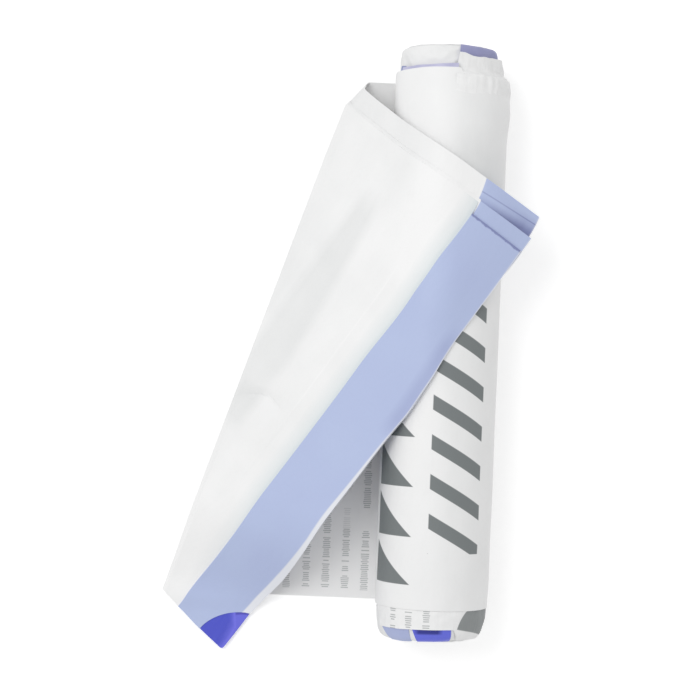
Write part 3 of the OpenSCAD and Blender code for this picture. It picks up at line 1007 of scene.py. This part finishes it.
def end_turns(name, end, seed, finish):
    """Edges of the wound film on the flat of an end: one strip wound from the eye outwards."""
    left = float(end.shoulder(-math.pi / 2, lip_up)[0]) - lip_margin
    right = float(end.shoulder(math.pi / 2, lip_up)[0]) - lip_margin
    inside = eye_r + 0.9
    outside = (left + right) / 2
    f = Shape(
        name, turns=(outside - inside) / wound_pitch, first_r=inside * MM, last_r=outside * MM,
        thickness=0.8 * MM, depth=3.0 * MM, level=(end_rise - face_drop + 0.75) * MM,
        ragged=1.5 * MM, wander=0.9 * MM, lean=(left - right) / (left + right), seed=seed)
    line = f.node("GeometryNodeCurveSpiral", {}, {
        "Resolution": 56, "Rotations": f.turns, "Start Radius": f.first_r, "End Radius": f.last_r,
        "Height": 0.0})
    upright = f.node("GeometryNodeSetCurveNormal", {"mode": "Z_UP"}, {"Curve": line})
    section_size = {"Width": f.thickness, "Height": f.depth}
    section = f.node("GeometryNodeCurvePrimitiveQuadrilateral", {}, section_size)
    strip = f.node(
        "GeometryNodeCurveToMesh", {}, {"Curve": upright, "Profile Curve": section, "Fill Caps": True})
    x, y, z = f.split(f.node("GeometryNodeInputPosition"))
    r = (x * x + y * y).math("SQRT")
    near = (0 - (r * (1 / (eye_reach * MM))) ** 2.0).math("EXPONENT")
    oval_x, oval_y = pressed(x, y, near)
    slow = f.noise(f.join(x, y, f.seed * 0.1), 90.0, 1.0) - 0.5
    quick = f.noise(f.join(x, y, f.seed * 0.1 + 3), 420.0, 2.0) - 0.5
    out = 1 - f.lean * x / r + slow * f.wander / r
    place = f.join(oval_x * out, oval_y * out, z + f.level + quick * f.ragged)
    moved = f.node("GeometryNodeSetPosition", {}, {"Geometry": strip, "Position": place})
    obj = f.piece(moved, finish)
    end_y = end.side * half_w * MM
    stood_up = Matrix(((1, 0, 0, 0), (0, 0, end.side, end_y), (0, 1, 0, axis_z * MM), (0, 0, 0, 1)))
    obj.data.transform(stood_up)
    if end.side > 0:
        obj.data.flip_normals()
    return obj


# Pieces of film and tape that show on the ends, over the wound turns
def crumpled(turn, h, depth):
    """Small hard creases of film that is pressed down over an end."""
    a = waves(turn * 24, h * 0.8, 6.5, 41)
    b = waves(turn * 20 + h, h * 0.5, 4.0, 57)
    return depth * (0.6 * np.abs(a) + 0.4 * b)


def on_shoulder(end):
    def at(turn, h, lift):
        r, up = end.lifted(turn, np.arcsin(np.clip(h / end_rise, 0, 0.999)), lift)
        return r + crumpled(turn, h, 0.22), np.where(h > 0, up, h)
    return at


def over_edge(end):
    """From the outermost turn over its end and up the shoulder."""
    def at(turn, h, lift):
        r, up = end.lifted(turn, np.arcsin(np.clip(h / end_rise, 0, 0.999)), lift)
        outer_r = roll_r + lift - squeeze(turn, half_w + h) - 0.9 * (1 - smooth((h + 12) / 7))
        outer_r = outer_r + pleats(turn, half_w + h) + crumpled(turn, h, 0.35) * smooth((h + 9) / 8)
        share = smooth((h + 2) / 4)
        return along(outer_r, r + crumpled(turn, h, 0.5), share), np.where(h > 0, up, h)
    return at


def past_edge(radius):
    """A ring just past the end of the outermost turn, within its thickness."""
    def at(turn, h, lift):
        return radius + lift + 0 * turn, h
    return at


def end_film(name, end, spans, heights, at, lifts, finish, steps=(56, 30), flare=0.0):
    """A piece of film on an end, whose free edge stands off by flare.

    spans gives the first and last angle in degrees for a share of its height, and heights the first and
    last height past the outermost turn for an angle.
    """
    share = np.linspace(0, 1, steps[0])[:, None]
    if end.side > 0:
        share = share[::-1]
    k = np.linspace(0, 1, steps[1])[None, :]
    turn = along(*spans(k), share)
    h = along(*heights(turn), k)
    rad = np.radians(turn)
    faces = []
    for lift in (lifts[1], lifts[0]):
        r, up = at(rad, h, lift + 0.12 * waves(turn * 0.4, h, 9, 31) + flare * k ** 8)
        faces.append(end.place(rad, r, up))
    return shell(name, faces[0], faces[1], finish, points(turn, end.side * (half_w + h), 0))


def upper_cover(finish):
    def spans(k):
        return 1.0 + 3.6 * k ** 3, 118 - 30 * smooth((k - 0.6) / 0.4)

    def heights(turn):
        top = 9.6 - 1.5 * smooth((turn - 9) / 13) + 0.5 * smooth((turn - 24) / 40)
        return -13 + 0 * turn, top + 0.12 * np.sin(turn * 0.4) * hump(turn - 34, 22)

    at = over_edge(COVERED)
    return end_film("upper_cover", UPPER, spans, heights, at, (0.1, 0.6), finish, (110, 70), 0.25)


def upper_hem(finish):
    """Hem of the same bag, on the shoulder past the covering film, darkened as painted shade."""
    def spans(k):
        return 4.0 + 2.0 * k, 100 - 4 * k

    def heights(turn):
        return 5.0 + 0 * turn, 13.42 - 0.0006 * np.maximum(0, turn - 20) ** 1.5

    at = on_shoulder(UPPER)
    return end_film("upper_hem", UPPER, spans, heights, at, (-0.1, 0.3), finish, (70, 36))


def upper_hem_line(finish):
    def spans(k):
        return -64 + 0 * k, 3.4 + 0 * k

    def heights(turn):
        top = 2.9 + 0.4 * smooth((turn + 60) / 35) + 0.7 * smooth((turn + 27) / 30)
        return 0.6 + 0 * turn, top + 0.06 * np.sin(turn * 0.3)

    at = past_edge(inner_r + 0.4)
    return end_film("upper_hem_line", UPPER, spans, heights, at, (-0.1, 0.35), finish, (50, 6))


def upper_tuck(finish):
    """A small fold of hem film at the left end of the hem line, coloured dark as painted shade."""
    def spans(k):
        return -70 + 3 * k, -57 - 2 * k

    def heights(turn):
        return 1.0 + 0 * turn, 3.7 - 0.05 * (turn + 64)

    at = past_edge(inner_r + 0.3)
    return end_film("upper_tuck", UPPER, spans, heights, at, (-0.1, 0.4), finish, (8, 8))


def lower_cover(finish):
    def spans(k):
        return -74 + 8 * k, 84 - 14 * k

    def heights(turn):
        rise = 7.2 + 5.0 * smooth((turn - 22) / 9) + 0.15 * smooth((-20 - turn) / 20)
        return -1.5 + 0 * turn, rise

    at = on_shoulder(LOWER)
    return end_film("lower_cover", LOWER, spans, heights, at, (0.2, 0.55), finish, (90, 50), 0.5)


def lower_hem(finish):
    def spans(k):
        return -70 + 16 * k, -26 + 2 * k

    def heights(turn):
        return 4.0 + 0 * turn, 13.0 + 0 * turn

    at = on_shoulder(LOWER)
    return end_film("lower_hem", LOWER, spans, heights, at, (0.0, 0.32), finish, (30, 24))


def lower_tape(finish):
    def spans(k):
        return -23 + 6 * k, 19.5 + 3.4 * k

    def heights(turn):
        return 4.5 + 0 * turn, 13.25 + 0 * turn

    at = on_shoulder(LOWER)
    return end_film("lower_tape", LOWER, spans, heights, at, (0.02, 0.38), finish, (30, 26))


film = film_finish()
wound_film = wound_finish()
tape = tape_finish()

inner_ends = (half_w, half_w)
middle_ends = (middle_film_end, middle_hem_end)
outer_ends = (outer_film_end, outer_hem_end)
inner_ply = film_ply("inner_ply", 1, (-0.45, -0.20), (-0.45, -0.05), inner_ends, film, lowest_sag, -0.6)
middle_ply = film_ply("middle_ply", 2, (-0.15, 0.12), (0.00, 0.38), middle_ends, film, None, 0.6)
outer_ply = film_ply("outer_ply", 3, (0.17, 0.45), (0.75, 1.05), outer_ends, film)
tape_in_hem = hem_tape(tape)
turn_of_film = outer_turn(turn_finish())
wound = winding(wound_film)
upper_turns = end_turns("upper_turns", UPPER, 3, wound_film)
lower_turns = end_turns("lower_turns", LOWER, 8, wound_film)
cover = upper_cover(cover_finish())
end_hem = upper_hem(patch_finish("hem_in_shade", HEM_DEEP, HEM_SEAM_AND_SHADE))
hem_line = upper_hem_line(patch_finish("hem_edge", HEM_EDGE, HEM_DEEP))
# The tuck's dark colour is painted shade of its fold.
tuck = upper_tuck(patch_finish("hem_fold_painted_shade", HEM_SEAM_AND_SHADE, HEM_SHADE))
low_cover = lower_cover(lower_cover_finish())
low_hem = lower_hem(patch_finish("end_hem", END_HEM, HEM_SHADE))
low_tape = lower_tape(end_tape_finish())

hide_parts("outer_bag")
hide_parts("outer_drawstring")
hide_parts("wound_bags")
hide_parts("inner_drawstring")
slots = {
    "bag_film": [inner_ply, middle_ply, outer_ply, turn_of_film, hem_line, tuck],
    "wound_film": [wound, upper_turns, lower_turns, cover, end_hem, low_cover, low_hem],
    "drawstring_tape": [tape_in_hem, low_tape],
}
for slot, pieces in slots.items():
    for piece in pieces:
        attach(piece, "root")


# The floor, the light and the camera
camera_place = (-44.8, -5.2, 1030)
camera_lean = math.radians(2.35)
frame_px = 700
floor_mm_per_px = 0.505


def floor():
    f = Finish("white_floor")
    plain = f.node("ShaderNodeBsdfDiffuse", {}, {"Color": (0.8, 0.8, 0.8, 1)})
    shown = f.node("ShaderNodeBsdfDiffuse", {}, {"Color": (1, 1, 1, 1)})
    glow = f.node("ShaderNodeEmission", {}, {"Color": (1, 1, 1, 1), "Strength": 0.27})
    bright = f.node("ShaderNodeAddShader", {}, {0: shown, 1: glow})
    mixed = f.node("ShaderNodeMixShader", {}, {0: f.seen_directly(), 1: plain, 2: bright})
    f.node("ShaderNodeOutputMaterial", {}, {"Surface": mixed})
    side = 3000
    corners = [(-side, -side, 0), (side, -side, 0), (side, side, 0), (-side, side, 0)]
    obj = mesh_piece("floor", corners, [(0, 1, 2, 3)], f.material)


def lamp(name, place, aim, size, watts):
    data = bpy.data.lights.new(name, "AREA")
    data.shape = "DISK"
    data.size = size * MM
    data.energy = watts
    obj = bpy.data.objects.new(name, data)
    bpy.context.scene.collection.objects.link(obj)
    obj.location = Vector(place) * MM
    obj.rotation_euler = (Vector(aim) - Vector(place)).to_track_quat("-Z", "Y").to_euler()


class Room(Nodes):
    """The even light round the object, white where it is seen."""

    def __init__(self, strength):
        made = bpy.data.worlds.new("studio")
        made.use_nodes = True
        self.tree = made.node_tree
        self.tree.nodes.clear()
        lit = self.node("ShaderNodeBackground", {}, {"Color": (1, 1, 1, 1), "Strength": strength})
        seen = self.node("ShaderNodeBackground", {}, {"Color": (1, 1, 1, 1), "Strength": 1.0})
        mixed = self.node("ShaderNodeMixShader", {}, {0: self.seen_directly(), 1: lit, 2: seen})
        self.node("ShaderNodeOutputWorld", {}, {"Surface": mixed})
        bpy.context.scene.world = made


def camera():
    """Straight overhead, turned so that the roll leans as in the photograph."""
    seen_w = frame_px * floor_mm_per_px
    data = bpy.data.cameras.new("camera")
    data.sensor_width = 36
    data.lens = data.sensor_width * camera_place[2] / seen_w
    obj = bpy.data.objects.new("camera", data)
    bpy.context.scene.collection.objects.link(obj)
    place = Matrix.Translation(Vector(camera_place) * MM)
    obj.matrix_world = place @ Matrix.Rotation(camera_lean, 4, "Z")
    bpy.context.scene.camera = obj


floor()
Room(0.72)
lamp("key", (-560, 350, 1090), (0, 0, 20), 700, 4.1)
camera()
bpy.context.scene.view_settings.view_transform = "Standard"
